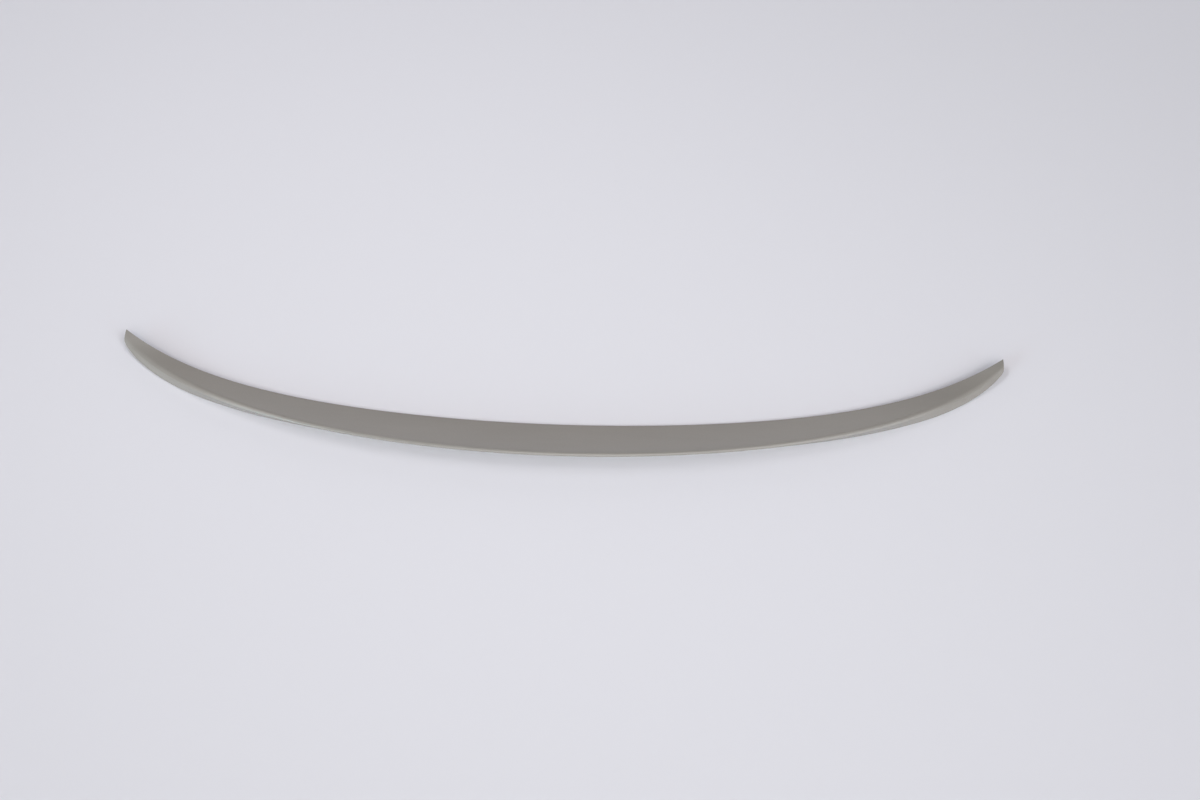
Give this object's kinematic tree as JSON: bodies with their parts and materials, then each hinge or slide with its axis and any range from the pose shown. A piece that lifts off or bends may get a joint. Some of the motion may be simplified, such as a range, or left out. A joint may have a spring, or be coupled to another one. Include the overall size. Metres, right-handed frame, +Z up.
{
  "type": "car rear lip spoiler",
  "caption": "Slender bowed lip spoiler for a boot lid: concave top face, rounded trailing lip, pointed raised tips and a flat underside with tape beds and ribbed pockets.",
  "frame": {"origin": "on the surface that the spoiler lies on, under the middle of its outline", "axes": "+X across the car, from tip to tip; +Y towards the front of the car, so the lip faces -Y; +Z up, away from the boot lid"},
  "size_m": [1.2, 0.201, 0.026],
  "materials": {
    "grey_primer": "satin grey primer on moulded plastic"
  },
  "bodies": {
    "root": {"rear_lip_spoiler": "grey_primer"}
  },
  "joints": []
}
